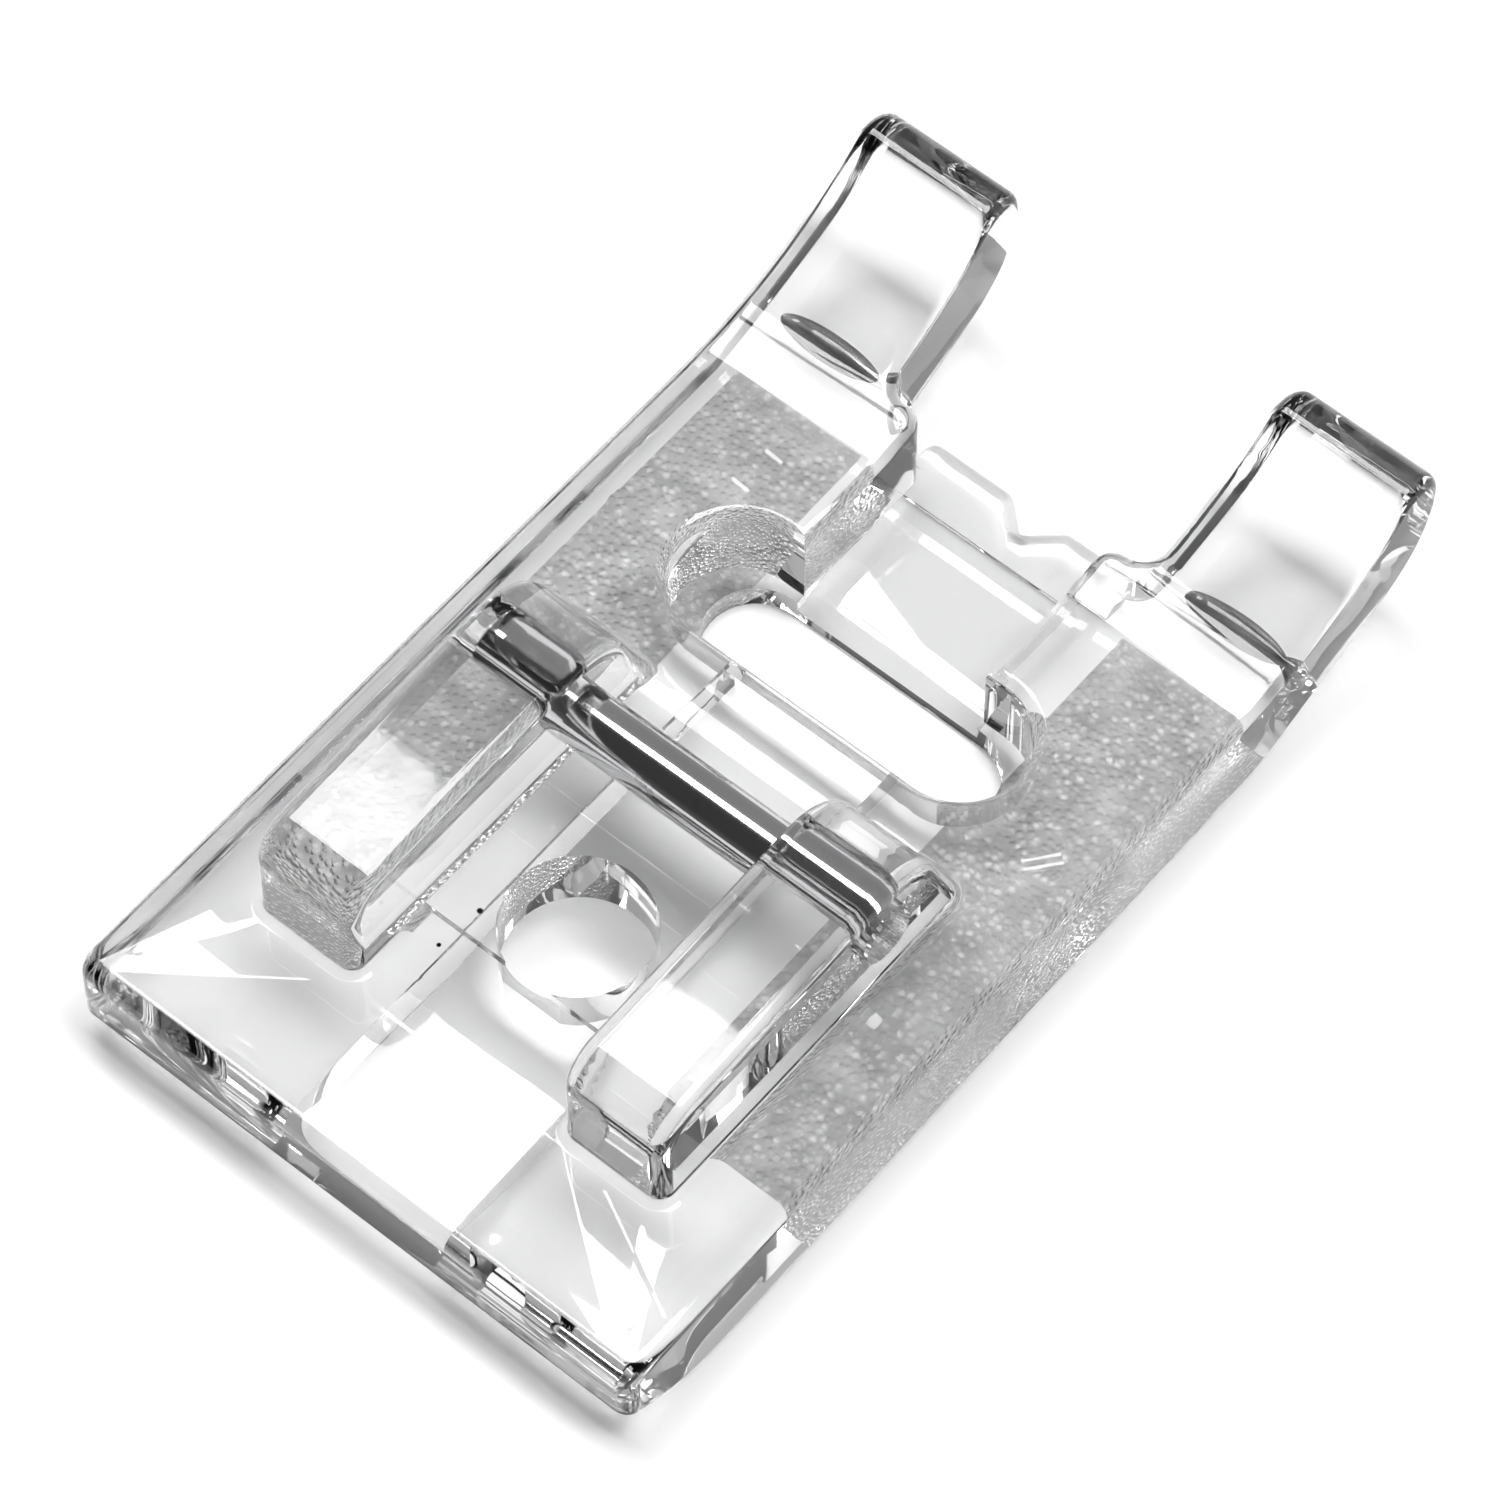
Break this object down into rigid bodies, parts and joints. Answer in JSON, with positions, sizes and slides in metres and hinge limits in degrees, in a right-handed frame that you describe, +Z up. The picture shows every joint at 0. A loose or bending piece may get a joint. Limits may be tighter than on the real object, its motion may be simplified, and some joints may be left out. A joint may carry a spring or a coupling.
{
  "type": "sewing machine presser foot",
  "caption": "Clear clip-on presser foot for a sewing machine: flat sole with upturned toes, open front, needle slot, tunnel under the sole and a steel cross pin held between raised ribs.",
  "frame": {"origin": "on the sole plane, midway between both sides and midway between the rear edge and the toe tips", "axes": "+X along the cross pin, +Y towards the rear edge with the toes at -Y, +Z up from the sole"},
  "size_m": [0.02, 0.0354, 0.0077],
  "materials": {
    "body": "clear, polished on top, finely stippled under the sole",
    "pin": "ground steel, satin"
  },
  "bodies": {
    "root": {"foot_body": "body", "cross_pin": "pin"}
  },
  "joints": []
}
